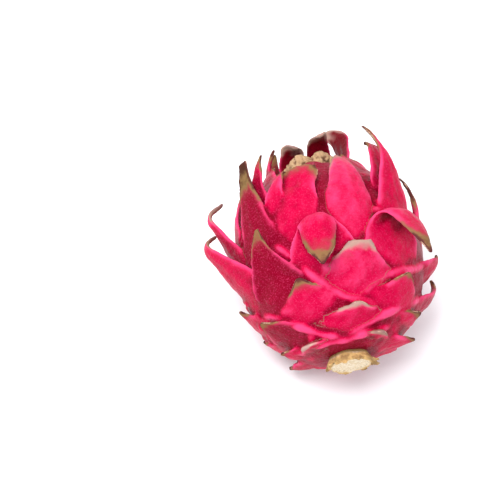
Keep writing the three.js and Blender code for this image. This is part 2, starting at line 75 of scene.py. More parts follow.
# name: its group, and its number there. around: degrees round the axis from the top, towards +X.
# root: -1 at the stem pole, 1 at the flower pole. length, width: of the blade. rise, tip: degrees its
# middle and tip stand off the rind. side: lean of the tip towards +X. fold, fold_by, over: where it
# turns back, by how much, and over how long a share to each side. taper, blunt: the outline of the
# end. shape: the outline itself, as places along the blade and shares of its width. cup: curve across
# the tip. curl: how far the edges turn up. hollow: how far the middle is sunk. twist: degrees the tip
# turns about its middle line. dry: the share of the blade that has dried, to olive brown, or by `pale`
# to grey. inner: how far its inner face is darkened by painted shade. tone: lighter above 0, deeper below.
scales = [
    dict(name="collar_1", around=36, root=-0.96, length=13, width=22, rise=26, tip=30, dry=0.16, pale=0.6),
    dict(name="collar_2", around=92, root=-0.96, length=20, width=22, rise=18, tip=28, dry=0.12),
    dict(name="collar_3", around=146, root=-0.96, length=16, width=22, rise=8, tip=6),
    dict(name="collar_4", around=204, root=-0.96, length=16, width=22, rise=8, tip=6),
    dict(name="collar_5", around=265, root=-0.94, length=16, width=22, rise=20, tip=24, side=4),
    dict(name="collar_6", around=304, root=-0.96, length=14, width=24, rise=26, tip=30, dry=0.1, pale=1.0),
    dict(name="collar_7", around=128, root=-0.93, length=20, width=18, rise=18, tip=21, side=2),
    dict(name="collar_8", around=220, root=-0.93, length=23, width=20, rise=22, tip=25, dry=0.12),
    dict(name="shield_1", around=359, root=-0.88, length=16, width=34, rise=18, tip=22, dry=0.08, side=4,
         pale=0.7, hollow=-0.3, tone=0.12),
    dict(name="shield_2", around=68, root=-0.86, length=16, width=32, rise=22, tip=34, dry=0.2, side=4),
    dict(name="shield_3", around=120, root=-0.88, length=26, width=33, rise=8, tip=6),
    dict(name="shield_4", around=180, root=-0.88, length=24, width=34, rise=6, tip=0),
    dict(name="shield_5", around=240, root=-0.88, length=26, width=33, rise=8, tip=10),
    dict(name="shield_6", around=290, root=-0.88, length=24, width=32, rise=17, tip=28, tone=-0.2,
         hollow=1.6),
    dict(name="shield_7", around=328, root=-0.76, length=22, width=33, rise=17, tip=26, dry=0.16, side=3,
         hollow=-0.8, tone=0.05),
    dict(name="shield_8", around=44, root=-0.78, length=22, width=36, rise=17, tip=22, dry=0.08, hollow=-0.3,
         tone=0.08),
    dict(name="shield_9", around=95, root=-0.73, length=36, width=34, rise=27, tip=-12, side=10,
         shape=((0, 1), (0.3, 0.9), (0.6, 0.45), (0.8, 0.18), (1, 0.06)), tone=-0.1),
    dict(name="shield_10", around=152, root=-0.77, length=28, width=34, rise=6, tip=0),
    dict(name="shield_11", around=208, root=-0.77, length=28, width=34, rise=6, tip=0),
    dict(name="shield_12", around=262, root=-0.77, length=30, width=34, rise=11, tip=22),
    dict(name="middle_1", around=7, root=-0.64, length=25, width=36, rise=18, tip=25, blunt=0.3, dry=0.07,
         side=3, pale=0.8, hollow=-0.8, tone=0.1),
    dict(name="middle_2", around=84, root=-0.43, length=24, width=30, rise=42, tip=-8, cup=3, side=6,
         tone=0.1, hollow=1.6),
    dict(name="middle_3", around=125, root=-0.54, length=34, width=34, rise=8, tip=6),
    dict(name="middle_4", around=180, root=-0.54, length=32, width=34, rise=5, tip=0),
    dict(name="middle_5", around=236, root=-0.54, length=34, width=34, rise=8, tip=8),
    dict(name="middle_6", around=285, root=-0.45, length=57, width=30, rise=37, tip=46, cup=3, fold=0.77,
         fold_by=-57, shape=((0, 1), (0.3, 0.9), (0.6, 0.42), (0.8, 0.16), (1, 0.12)), side=-19, dry=0.1,
         pale=0.3, tone=-0.15),
    dict(name="middle_7", around=312, root=-0.56, length=38, width=32, rise=22, tip=16, taper=0.95,
         hollow=3.0, curl=1.8, dry=0.13, side=4, tone=-0.45),
    dict(name="middle_8", around=349, root=-0.43, length=59, width=33, rise=6, tip=8, fold=0.46, fold_by=190,
         over=0.18, cup=-7, dry=0.13,
         shape=((0, 1), (0.2, 0.95), (0.4, 0.56), (0.6, 0.56), (0.8, 0.4), (1, 0.05)), side=-1, inner=0.0,
         tone=0.08),
    dict(name="middle_9", around=36, root=-0.39, length=57, width=34, rise=12, tip=60, fold=0.44,
         fold_by=156, side=3, cup=-2, dry=0.16,
         shape=((0, 1), (0.25, 1), (0.5, 0.6), (0.75, 0.4), (1, 0.06)), over=0.16, inner=0.0, tone=0.02),
    dict(name="middle_10", around=92, root=-0.27, length=36, width=32, rise=15, tip=24),
    dict(name="middle_11", around=152, root=-0.27, length=36, width=32, rise=6, tip=0),
    dict(name="middle_12", around=208, root=-0.27, length=36, width=32, rise=6, tip=0),
    dict(name="middle_13", around=279, root=-0.17, length=55, width=28, rise=44, tip=100, cup=3, fold=0.78,
         fold_by=-94, shape=((0, 1), (0.25, 0.8), (0.5, 0.36), (0.75, 0.16), (1, 0.14)), side=-7, dry=0.1,
         pale=0.6, tone=-0.05),
    dict(name="shoulder_1", around=10, root=-0.17, length=56, width=25, rise=14, tip=2, side=3, dry=0.09,
         shape=((0, 0.6), (0.2, 0.9), (0.4, 0.92), (0.6, 0.72), (0.78, 0.44), (0.9, 0.26), (1, 0.06)),
         hollow=-1.0, curl=-0.6, tone=0.12, pale=0.5),
    dict(name="shoulder_2", around=43, root=0.0, length=56, width=24, rise=38, tip=26, side=-8,
         shape=((0, 1), (0.3, 0.9), (0.6, 0.4), (0.75, 0.14), (1, 0.08)), dry=0.12),
    dict(name="shoulder_3", around=75, root=-0.07, length=34, width=16, rise=24, tip=-9, taper=0.8, side=-15,
         shape=((0, 1), (0.25, 0.8), (0.45, 0.35), (0.6, 0.2), (0.8, 0.14), (1, 0.08)), dry=0.3),
    dict(name="shoulder_4", around=112, root=0.1, length=42, width=27, rise=18, tip=24),
    dict(name="shoulder_5", around=180, root=0.12, length=40, width=27, rise=12, tip=22),
    dict(name="shoulder_6", around=246, root=0.1, length=42, width=27, rise=18, tip=24),
    dict(name="shoulder_7", around=270, root=0.08, length=46, width=23, rise=20, tip=20),
    dict(name="shoulder_8", around=308, root=-0.12, length=51, width=26, rise=30, tip=58, side=4, dry=0.26,
         shape=((0, 0.9), (0.2, 1), (0.45, 0.7), (0.7, 0.4), (0.9, 0.3), (1, 0.24)), hollow=1.5, tone=-0.25),
    dict(name="shoulder_9", around=337, root=-0.17, length=44, width=24, rise=15, tip=18, side=4, dry=0.03,
         shape=((0, 0.5), (0.25, 0.8), (0.6, 0.92), (0.9, 0.9), (1, 0.72)), hollow=-0.6, curl=0.2, tone=0.02),
    dict(name="shoulder_10", around=324, root=0.1, length=31, width=15, rise=30, tip=-14, side=7,
         dry=0.04),
    dict(name="neck_1", around=352, root=0.6, length=19, width=26, rise=8, tip=6, tone=-0.3),
    dict(name="neck_2", around=38, root=0.58, length=25, width=26, rise=13, tip=18, tone=-0.1),
    dict(name="neck_3", around=88, root=0.62, length=32, width=28, rise=22, tip=34),
    dict(name="neck_4", around=136, root=0.64, length=32, width=28, rise=24, tip=34),
    dict(name="neck_5", around=188, root=0.64, length=31, width=28, rise=22, tip=34),
    dict(name="neck_6", around=240, root=0.64, length=32, width=28, rise=26, tip=36),
    dict(name="neck_7", around=296, root=0.62, length=26, width=26, rise=18, tip=20, tone=-0.1),
    dict(name="crown_1", around=31, root=0.18, length=30, width=16, rise=4, tip=6, side=1, taper=1.6),
    dict(name="crown_2", around=41, root=0.29, length=41, width=15, rise=38, tip=-6, side=3,
         shape=((0, 0.9), (0.3, 1), (0.7, 0.75), (0.85, 0.5), (1, 0.1))),
    dict(name="crown_3", around=71, root=0.85, length=40, width=14, rise=74, tip=2, side=6, dry=0.1,
         shape=((0, 1.7), (0.2, 1.4), (0.45, 1), (0.7, 0.8), (0.9, 0.5), (1, 0.25)), inner=1.0, pale=0.7,
         twist=-75, tone=-0.45),
    dict(name="crown_4", around=143, root=0.92, length=43, width=15, rise=55, tip=-27, side=-17, dry=0.07,
         shape=((0, 1), (0.5, 1), (0.8, 0.9), (0.95, 0.6), (1, 0.3)), inner=1.0, pale=0.8),
    dict(name="crown_5", around=218, root=0.91, length=35, width=17, rise=70, tip=-30, side=10, dry=0.09,
         shape=((0, 0.9), (0.5, 1), (0.8, 0.95), (0.95, 0.6), (1, 0.3)), inner=1.0, pale=0.8),
    dict(name="crown_6", around=222, root=0.71, length=40, width=24, rise=52, tip=40, side=4, inner=1.0),
    dict(name="crown_7", around=279, root=0.8, length=26, width=11, rise=57, tip=35, side=6, tone=-0.2),
    dict(name="crown_8", around=310, root=0.3, length=31, width=13, rise=49, tip=34, side=11, tone=-0.2),
]


def outline(turn):
    """The rind's section: the distance out is the equator's radius times sin(turn) to a power under
    1, and the place along the axis is -cos(turn) times the half length less a round dimple."""
    out = equator * np.maximum(0, np.sin(turn)) ** shoulder
    stem = turn < math.pi / 2
    depth = np.where(stem, stem_dimple[0], flower_dimple[0])
    radius = np.where(stem, stem_dimple[1], flower_dimple[1])
    return out, -np.cos(turn) * (half_length - depth * np.exp(-((out / radius) ** 2)))


def rind_frame(turn, around):
    """The point of the rind at a turn and an angle round the axis, with the unit vectors up the rind,
    out of it and across."""
    (out, along), (out_0, along_0), (out_1, along_1) = (
        outline(np.asarray(turn + step, float)) for step in (0, -0.01, 0.01)
    )
    slope = np.stack([out_1 - out_0, along_1 - along_0])
    slope = slope / np.linalg.norm(slope, axis=0)
    radial = np.stack([np.sin(around), 0 * around, np.cos(around)], -1)
    axis = np.array([0.0, 1.0, 0.0])
    return (
        radial * out[..., None] + axis * along[..., None],
        radial * slope[0][..., None] + axis * slope[1][..., None],
        radial * slope[1][..., None] - axis * slope[0][..., None],
        np.stack([np.cos(around), 0 * around, -np.sin(around)], -1),
    )


def laid(points):
    """Turns upright-fruit millimetres into the resting place: rotated by the axis's rise, then heights
    near the floor squeezed by range * log(1 + exp(height / range)), as a ripe fruit's weight does."""
    x, y, z = points.T
    turned_y = y * math.cos(axis_rise) - z * math.sin(axis_rise)
    turned_z = y * math.sin(axis_rise) + z * math.cos(axis_rise)
    height = squash_range * np.logaddexp(0, (turned_z + fruit_centre[2]) / squash_range)
    return np.stack([x + fruit_centre[0], turned_y + fruit_centre[1], height - floor_drop], -1)


def tube_faces(rows, count):
    """Quads between successive rings of `count` points, and a polygon over each end."""
    r, i = np.meshgrid(np.arange(rows - 1), np.arange(count), indexing="ij")
    a, b = r * count + i, r * count + (i + 1) % count
    quads = np.stack([a, b, b + count, a + count], -1).reshape(-1, 4).tolist()
    last = (rows - 1) * count
    return quads + [list(range(count))[::-1], list(range(last, last + count))]


def mesh_object(name, points, faces):
    """A piece from its points in millimetres and its faces."""
    mesh = bpy.data.meshes.new(name)
    mesh.from_pydata((np.asarray(points) * millimetre).tolist(), [], faces)
    piece = bpy.data.objects.new(name, mesh)
    bpy.context.scene.collection.objects.link(piece)
    return piece


def smoothstep(x, low, high):
    """0 below one limit and 1 above the other; between them 3 t^2 - 2 t^3 of the share t passed."""
    t = np.clip((x - low) / (high - low), 0, 1)
    return t * t * (3 - 2 * t)


def blade(index, name, around, root, length, width, rise, tip, side=0, fold=0, fold_by=0, over=0.12,
          taper=1.25, blunt=0.07, shape=None, cup=1.6, curl=0.9, hollow=0.9, twist=0, dry=0.1,
          pale=0.0, inner=0.5, tone=0.0, rows=72, count=48):
    """A scale as a flattened tube carried along a bent middle line. The heading off the rind is a
    parabola through its root, middle and tip angles, less the rind's own curve, plus a fold that
    turns by a smooth step. Width grows by a sine to a quarter of the length, then runs out by a power
    law, or follows the shares given. Its edges are raised and its outer face is a little sunk."""
    along = np.linspace(0, 1, rows)[:, None]
    ring = np.linspace(0, 2 * np.pi, count, endpoint=False)[None, :]
    point, up, out, across = rind_frame(np.array(math.acos(-root)), np.array(math.radians(around)))

    def heading(share):
        """The blade's angle out from the rind's own direction at its root, in radians."""
        parabola = (1 - share) * (1 - 2 * share) * root_lift + 4 * share * (1 - share) * rise
        parabola = parabola + share * (2 * share - 1) * tip
        if fold_by:
            parabola = parabola + fold_by * smoothstep(share, fold - over, fold + over)
        return np.radians(parabola) - share * length / half_length

    fine = 8
    middle = heading((np.arange((rows - 1) * fine) + 0.5) / ((rows - 1) * fine))
    stride = length / ((rows - 1) * fine)
    climbed = np.concatenate([[0], np.cumsum(np.cos(middle))])[::fine][:, None] * stride
    lifted = np.concatenate([[0], np.cumsum(np.sin(middle))])[::fine][:, None] * stride
    lifted = lifted - root_depth

    if shape:
        places, shares = zip(*shape)
        spread = np.interp(along, places, shares)
        for _ in range(12):
            spread[1:-1] = (spread[:-2] + spread[1:-1] + spread[2:]) / 3
    else:
        widest = 0.25
        spread = np.where(
            along < widest,
            0.8 + 0.2 * np.sin(np.pi / 2 * along / widest),
            blunt + (1 - blunt) * (1 - np.clip((along - widest) / (1 - widest), 0, 1) ** taper),
        )
    half_width = width / 2 * spread
    share = np.cos(ring)
    notch = 0.045 * np.sin(9 * along + 2.1 * index) + 0.03 * np.sin(21 * along + index * share)
    x = half_width * share * (1 + notch * smoothstep(along, 0.1, 0.5))
    face = np.sign(np.sin(ring)) * np.abs(np.sin(ring)) ** 0.55
    half_edge = edge_thickness / 2 * (1 - 0.4 * along)
    half_middle = (root_thickness + (tip_thickness - root_thickness) * along) / 2
    thick = half_edge + (half_middle - half_edge) * (1 - share**2) ** 0.7
    bend = (1 + (cup - 1) * along) / equator
    fullness = half_width / (width / 2)
    shape_out = face * thick - bend * x**2 / 2
    shape_out = shape_out + curl * share**4 * smoothstep(along, 0, 0.2) * fullness
    sunk = hollow * (1 - share**2) * smoothstep(along, 0.02, 0.3) * fullness
    shape_out = shape_out - sunk * np.where(face > 0, 1, 0.6)
    ripple = 0.5 * np.abs(share) ** 1.5 * np.sin(15 * along + 3 * np.sign(share) + 1.7 * index)
    keel = 0.22 * np.sin(9 * share + index) * (1 - share**2)
    shape_out = shape_out + (ripple + keel) * smoothstep(along, 0.05, 0.4) * fullness
    lean = side * along**2 + 0.7 * np.sin(4.4 * along + 1.3 * index) * along

    turned = heading(along)
    facing = out * np.cos(turned)[..., None] - up * np.sin(turned)[..., None]
    twisted = np.radians(twist) * smoothstep(along, 0, 1)
    flat_x = x * np.cos(twisted) - shape_out * np.sin(twisted)
    flat_out = x * np.sin(twisted) + shape_out * np.cos(twisted)
    points = (
        point
        + up * climbed[..., None]
        + out * lifted[..., None]
        + across * (flat_x + lean)[..., None]
        + facing * flat_out[..., None]
    )
    # Painted shade: the inner face is marked to be darkened by the share `inner`.
    shaded = inner * smoothstep(-np.sin(ring), 0.1, 0.5)
    # The whole part is `pale` in quarters, the rest is the dry share.
    dried = np.round(pale * 4) + dry + 0 * along
    shift = tone + 0.1 * math.sin(2.3 * index)
    marks = np.stack(np.broadcast_arrays(along, np.abs(share), shaded, dried, shift), -1)
    return points.reshape(-1, 3), marks.reshape(-1, 5), tube_faces(rows, count)


# The scales' lower edges run on over the rind as rounded welts. Each is a line of places, as degrees
# round the axis and -1 to 1 along it.
welts = [
    [(318, 0.0), (321, -0.08), (328, -0.2), (335, -0.34), (341, -0.5), (354, -0.64), (362, -0.68),
     (376, -0.71), (390, -0.73)],
    [(368, -0.68), (379, -0.57), (390, -0.48), (403, -0.45), (421, -0.35), (440, -0.19)],
    [(341, -0.5), (345, -0.45), (349, -0.4), (352, -0.32), (353, -0.24)],
    [(282, -0.5), (303, -0.66), (310, -0.75), (318, -0.79), (323, -0.86), (340, -0.9), (353, -0.92)],
    [(353, -0.92), (365, -0.88), (379, -0.85), (395, -0.78), (412, -0.69), (436, -0.58), (447, -0.49)],
    [(342, -0.95), (368, -0.92), (386, -0.89), (405, -0.87), (414, -0.83)],
    [(268, -0.87), (303, -0.9), (336, -0.93), (369, -0.94)],
    [(318, -0.79), (318, -0.85), (298, -0.89), (267, -0.88)],
    [(18, 0.09), (25, 0.12), (35, 0.14), (59, 0.29), (70, 0.26)],
]
seen = len(welts)
for place, step in ((-0.66, 0), (-0.42, 1), (-0.12, 0), (0.18, 1)):
    for k in range(4):
        turn_to = 110 + 50 * k + 25 * step
        welts += [[(turn_to, place), (turn_to + 9, place + 0.1), (turn_to + 24, place + 0.22)],
                  [(turn_to, place), (turn_to - 9, place + 0.1), (turn_to - 24, place + 0.22)]]


def welt(line, radius=2.9, tone=0.3, rows=60, count=16):
    """A tapering rope laid along a line of places on the rind, sunk by most of its radius."""
    at = np.linspace(0, 1, rows)
    given = np.array(line, float)
    knots = np.concatenate([[0], np.cumsum(np.hypot(*np.diff(given * [0.6, 46], axis=0).T))])
    around = np.interp(at, knots / knots[-1], given[:, 0])
    place = np.interp(at, knots / knots[-1], given[:, 1])
    for _ in range(30):
        around[1:-1] = (around[:-2] + around[1:-1] + around[2:]) / 3
        place[1:-1] = (place[:-2] + place[1:-1] + place[2:]) / 3
    middle, _, out, _ = rind_frame(np.arccos(-place), np.radians(around))
    ahead = np.gradient(middle, axis=0)
    ahead = ahead / np.linalg.norm(ahead, axis=1, keepdims=True)
    aside = np.cross(ahead, out)
    ring = np.linspace(0, 2 * np.pi, count, endpoint=False)
    size = radius * (0.25 + 0.75 * np.sin(np.pi * at) ** 0.4) * (1 + 0.12 * np.sin(17 * at))
    middle = middle - out * (radius * 0.75 - size * 0.25)[:, None]
    points = (
        middle[:, None]
        + aside[:, None] * (size[:, None] * np.cos(ring))[..., None]
        - out[:, None] * (size[:, None] * np.sin(ring))[..., None]
    )
    marks = np.zeros(points.shape[:2] + (5,)) + np.array([0, 0.5, 0, 0, tone])
    return points.reshape(-1, 3), marks.reshape(-1, 5), tube_faces(rows, count)


def rind(rows=120, count=160):
    """The rind as rings from pole to pole."""
    turn = np.linspace(0.02, np.pi - 0.02, rows)[:, None]
    around = np.linspace(0, 2 * np.pi, count, endpoint=False)[None, :]
    points = rind_frame(*np.broadcast_arrays(turn, around))[0]
    marks = np.zeros(points.shape[:2] + (5,)) + np.array([0, 0.5, 0, 0, -0.3])
    # Painted shade: towards the flower end the rind is marked to take the dark shade colour of the hollow
    # there.
    marks[..., 2] = smoothstep(turn, 2.6, 2.85)
    return points.reshape(-1, 3), marks.reshape(-1, 5), tube_faces(rows, count)


parts = [rind()] + [blade(i, **scale) for i, scale in enumerate(scales)] + [
    welt(line, tone=0.3 if k < seen else -0.2) for k, line in enumerate(welts)
]
starts = np.cumsum([0] + [len(points) for points, _, _ in parts])
growth = mesh_object(
    "growth",
    laid(np.concatenate([points for points, _, _ in parts])),
    [[start + v for v in face] for start, (_, _, faces) in zip(starts, parts) for face in faces],
)


def evaluated(piece, name):
    """A new object holding the piece's mesh with its modifiers applied."""
    graph = bpy.context.evaluated_depsgraph_get()
    mesh = bpy.data.meshes.new_from_object(piece.evaluated_get(graph))
    made = bpy.data.objects.new(name, mesh)
    bpy.context.scene.collection.objects.link(made)
    return made


def coordinates(mesh):
    """The mesh's points, one row each."""
    points = np.empty(len(mesh.vertices) * 3, np.float32)
    mesh.vertices.foreach_get("co", points)
    return points.reshape(-1, 3).astype(float)


def normals(mesh):
    """The unit vector that faces out at each of the mesh's points."""
    vectors = np.empty(len(mesh.vertices) * 3, np.float32)
    mesh.vertex_normals.foreach_get("vector", vectors)
    return vectors.reshape(-1, 3).astype(float)


def relaxed(points, ends, share, times):
    """Each point moves by a share of the way to the mean of its neighbours, so many times."""
    a, b = ends
    count = np.bincount(a, minlength=len(points)) + np.bincount(b, minlength=len(points))
    for _ in range(times):
        total = np.stack(
            [
                np.bincount(a, points[b, k], len(points)) + np.bincount(b, points[a, k], len(points))
                for k in range(3)
            ],
            -1,
        )
        points = points + share * (total / count[:, None] - points)
    return points


def fused(growth, voxel, name):
    """The overlapping shells as one skin of small cells, its points, and the ends of its edges."""
    fuse = growth.modifiers.new("fuse", "REMESH")
    fuse.mode = "VOXEL"
    fuse.voxel_size = voxel
    made = evaluated(growth, name)
    ends = np.empty(len(made.data.edges) * 2, np.int32)
    made.data.edges.foreach_get("vertices", ends)
    return made, coordinates(made.data), ends.reshape(-1, 2).T


def colour_layer(mesh, name, values):
    """Adds a layer of colours to the mesh's points, from one value or four for each."""
    if values.ndim == 1:
        values = np.stack([values, values, values, 1 + 0 * values], -1)
    layer = mesh.color_attributes.new(name, "FLOAT_COLOR", "POINT")
    layer.data.foreach_set("color", values.astype(np.float32).ravel())


marks = np.concatenate([m for _, m, _ in parts])
colour_layer(growth.data, "marks", marks[:, :4])
colour_layer(growth.data, "tone", marks[:, 4])
skin_cell = 0.0006
deep_hollow = 0.0006
skin, points, ends = fused(growth, skin_cell, "skin")
for share in (0.5, -0.52, 0.5, -0.52, 0.5):
    points = relaxed(points, ends, share, 1)
# Hollows between a scale and its neighbour are filled towards their surroundings.
facing = normals(skin.data)
for _ in range(3):
    soft = relaxed(points, ends, 0.6, 10)
    sunk = np.einsum("ij,ij->i", soft - points, facing)
    points = points + (0.5 * smoothstep(sunk, 0.0, deep_hollow))[:, None] * (soft - points)
x, y, z = points.T * metre
lumps = 0.16 * np.sin(0.41 * x + 1.1 * np.sin(0.23 * y)) * np.sin(0.37 * y + 0.29 * z)
lumps = lumps + 0.09 * np.sin(0.93 * x - 0.61 * z) * np.sin(0.83 * y + 0.7 * np.sin(0.5 * x))
points = points + facing * lumps[:, None] * millimetre
points[:, 2] = np.maximum(points[:, 2], 0)
wide = relaxed(points, ends, 0.7, 60)
swell = np.einsum("ij,ij->i", points - wide, facing) * metre
skin.data.vertices.foreach_set("co", points.astype(np.float32).ravel())
colour_layer(skin.data, "swell", np.clip(0.5 + swell / 2.4, 0, 1))
skin.data.update()

most_triangles = 185000
triangles = len(skin.data.loops) - 2 * len(skin.data.polygons)
thin = skin.modifiers.new("thin", "DECIMATE")
thin.ratio = min(1, most_triangles / triangles)
fruit = evaluated(skin, "fruit_skin")
for layer in list(fruit.data.color_attributes):
    fruit.data.color_attributes.remove(layer)
for source, layer in ((growth, "marks"), (growth, "tone"), (skin, "swell")):
    source.modifiers.clear()
    fruit.data.color_attributes.new(layer, "FLOAT_COLOR", "POINT")
    carry = fruit.modifiers.new("carry " + layer, "DATA_TRANSFER")
    carry.object = source
    carry.use_vert_data = True
    carry.data_types_verts = {"COLOR_VERTEX"}
    carry.vert_mapping = "POLYINTERP_NEAREST"
    carry.layers_vcol_vert_select_src = layer
    carry.layers_vcol_vert_select_dst = "NAME"
finished = evaluated(fruit, "fruit_skin_marked")
fruit.modifiers.clear()
fruit.data = finished.data
for spare in (finished, skin, growth):
    bpy.data.objects.remove(spare)
fruit.data.polygons.foreach_set("use_smooth", np.ones(len(fruit.data.polygons), bool))
ends = np.empty(len(fruit.data.edges) * 2, np.int32)
fruit.data.edges.foreach_get("vertices", ends)
tone = np.empty(len(fruit.data.vertices) * 4, np.float32)
fruit.data.color_attributes["tone"].data.foreach_get("color", tone)
tone = relaxed(tone.reshape(-1, 4)[:, :3].astype(float), ends.reshape(-1, 2).T, 0.7, 7)
tone = np.concatenate([tone, np.ones((len(tone), 1))], 1).astype(np.float32)
fruit.data.color_attributes["tone"].data.foreach_set("color", tone.ravel())


def linear(red, green, blue):
    """An sRGB colour from 0 to 255 as linear light."""
    share = np.array([red, green, blue]) / 255
    light = np.where(share <= 0.04045, share / 12.92, ((share + 0.055) / 1.055) ** 2.4)
    return (*light.tolist(), 1)


def material(name):
    """A new material, its node tree and its shader."""
    made = bpy.data.materials.new(name)
    made.use_nodes = True
    return made, made.node_tree, made.node_tree.nodes["Principled BSDF"]


def node(tree, kind, settings={}, **inputs):
    """A node with its settings; each input is a value, or an output to link to it."""
    made = tree.nodes.new("ShaderNode" + kind)
    for key, value in settings.items():
        setattr(made, key, value)
    for key, value in inputs.items():
        socket = made.inputs[int(key[1:])] if key[0] == "i" and key[1:].isdigit() else made.inputs[key]
        if isinstance(value, bpy.types.NodeSocket):
            tree.links.new(value, socket)
        else:
            socket.default_value = value
    return made


def noise(tree, where, scale, detail=3.0, roughness=0.55):
    """Fractal noise from 0 to 1, with about so many lumps to a metre."""
    made = node(tree, "TexNoise", Vector=where, Scale=scale, Detail=detail, Roughness=roughness)
    return made.outputs["Fac"]


def ramp(tree, value, low, high):
    """A value's place between two limits, from 0 to 1, eased."""
    limits = {"From Min": low, "From Max": high}
    made = node(tree, "MapRange", dict(interpolation_type="SMOOTHSTEP"), Value=value, **limits)
    return made.outputs["Result"]


def maths(tree, operation, a, b=0.0):
    """Two values worked into one by the named operation."""
    return node(tree, "Math", dict(operation=operation), i0=a, i1=b).outputs[0]


def mixed(tree, share, a, b):
    """The first colour at share 0, the second at 1, and a blend between."""
    made = node(tree, "Mix", dict(data_type="RGBA"), i0=share, i6=a, i7=b)
    return made.outputs[2]


def washed(tree, mask, strength, under, over):
    """One colour laid over another by the share mask times strength."""
    return mixed(tree, maths(tree, "MULTIPLY", mask, strength), under, over)


def swayed(tree, value, by, amount):
    """The value plus (by - 0.5) times the amount."""
    return maths(tree, "ADD", value, maths(tree, "MULTIPLY", maths(tree, "SUBTRACT", by, 0.5), amount))


def shading_group(name, given, made):
    """A node group with its named inputs and outputs, and the sockets inside it to build between."""
    group = bpy.data.node_groups.new(name, "ShaderNodeTree")
    for way, sockets in (("INPUT", given), ("OUTPUT", made)):
        for title, kind in sockets:
            group.interface.new_socket(title, in_out=way, socket_type="NodeSocket" + kind)
    return group, group.nodes.new("NodeGroupInput").outputs, group.nodes.new("NodeGroupOutput").inputs


# Painted shade in the hollows: below `Starts` the colour begins to turn dark, and at `Full` it has
# turned by all of `Strength`. The skin, the stub and the flower base each place it with their own values.
painted_hollow_shade, given, made = shading_group(
    "painted_hollow_shade",
    (("Colour", "Color"), ("Height", "Float"), ("Starts", "Float"), ("Full", "Float"),
     ("Strength", "Float"), ("Dark", "Color")),
    (("Colour", "Color"),))
low = ramp(painted_hollow_shade, given["Height"], given["Starts"], given["Full"])
low = maths(painted_hollow_shade, "MULTIPLY", low, given["Strength"])
painted_hollow_shade.links.new(mixed(painted_hollow_shade, low, given["Colour"], given["Dark"]), made["Colour"])

rind_deep = linear(124, 0, 30)
rind_rose = linear(184, 0, 56)
rind_pale = linear(222, 64, 114)
# The dark crimson below is painted shade: it is laid in the skin's hollows, on the scales' inner faces and on
# the rind round the flower end.
painted_shade_red = linear(96, 4, 14)
tip_mauve = linear(140, 58, 62)
tip_olive = linear(122, 100, 62)
tip_brown = linear(58, 42, 30)
tip_grey = linear(182, 156, 146)
edge_tan = linear(216, 176, 150)

skin_paint, tree, surface = material("fruit_skin")
where = node(tree, "TexCoord").outputs["Object"]
given = node(tree, "Attribute", dict(attribute_name="marks"))
marks = node(tree, "SeparateColor", Color=given.outputs["Color"]).outputs
dried = given.outputs["Alpha"]
level = node(tree, "Attribute", dict(attribute_name="swell")).outputs["Fac"]
broad = noise(tree, where, 42.0)
patchy = noise(tree, where, 170.0, 4.0)
fine = noise(tree, where, 560.0, 3.0, 0.65)
grain = noise(tree, where, 1500.0, 2.0)
height = swayed(tree, level, broad, 0.34)
height = swayed(tree, height, fine, 0.3)
shift = node(tree, "Attribute", dict(attribute_name="tone")).outputs["Fac"]
height = maths(tree, "ADD", height, shift)
# Colour follows the swell, deep crimson low and pale pink high: partly the skin's own colour, partly painted
# shade in low places and painted highlight on raised ones.
colour = mixed(tree, ramp(tree, height, 0.22, 0.66), rind_deep, rind_rose)
colour = mixed(tree, ramp(tree, height, 0.6, 1.1), colour, rind_pale)
colour = washed(tree, ramp(tree, fine, 0.55, 0.78), 0.5, colour, rind_deep)
colour = washed(tree, ramp(tree, grain, 0.5, 0.75), 0.4, colour, rind_pale)
lit_edge = maths(tree, "MULTIPLY", ramp(tree, marks["Green"], 0.62, 0.92), ramp(tree, level, 0.5, 0.8))
colour = washed(tree, lit_edge, 0.55, colour, rind_pale)
speck = ramp(tree, noise(tree, where, 900.0, 2.0, 0.5), 0.62, 0.74)
colour = washed(tree, speck, 0.2, colour, rind_pale)
# Painted shade in the skin's hollows.
colour = node(tree, "Group", dict(node_tree=painted_hollow_shade), Colour=colour, Height=level, Starts=0.42,
              Full=0.12, Strength=0.85, Dark=painted_shade_red).outputs["Colour"]
# The most raised places are washed pale pink: partly the skin's own pale ridges, partly painted highlight.
colour = washed(tree, ramp(tree, level, 0.7, 1.0), 0.45, colour, rind_pale)
freckled = maths(tree, "MULTIPLY", ramp(tree, patchy, 0.5, 0.66), ramp(tree, marks["Red"], 0.45, 0.9))
colour = washed(tree, freckled, 0.4, colour, tip_mauve)
# Painted shade on the scales' inner faces and on the rind round the flower end.
colour = washed(tree, marks["Blue"], 0.9, colour, painted_shade_red)
paleness = maths(tree, "MULTIPLY", maths(tree, "FLOOR", dried), 0.25)
start = maths(tree, "SUBTRACT", 1.0, maths(tree, "FRACT", dried))
start = swayed(tree, start, patchy, 0.3)
rim_share = maths(tree, "MULTIPLY", ramp(tree, marks["Green"], 0.55, 1.0), 0.16)
past = maths(tree, "SUBTRACT", maths(tree, "ADD", marks["Red"], rim_share), start)
dry_tip = ramp(tree, past, -0.14, 0.04)
tip = mixed(tree, ramp(tree, past, -0.07, 0.06), tip_mauve, tip_olive)
tip = mixed(tree, ramp(tree, maths(tree, "ADD", past, maths(tree, "MULTIPLY", fine, 0.12)), 0.1, 0.24),
            tip, tip_brown)
tip = washed(tree, paleness, 0.85, tip, tip_grey)
colour = washed(tree, dry_tip, 0.92, colour, tip)
rim = maths(tree, "MULTIPLY", ramp(tree, marks["Green"], 0.93, 0.99), ramp(tree, marks["Red"], 0.74, 0.9))
rim = maths(tree, "MULTIPLY", rim, ramp(tree, patchy, 0.46, 0.58))
rim = maths(tree, "MULTIPLY", rim, ramp(tree, level, 0.6, 0.8))
colour = washed(tree, rim, 0.75, colour, edge_tan)
tree.links.new(colour, surface.inputs["Base Color"])
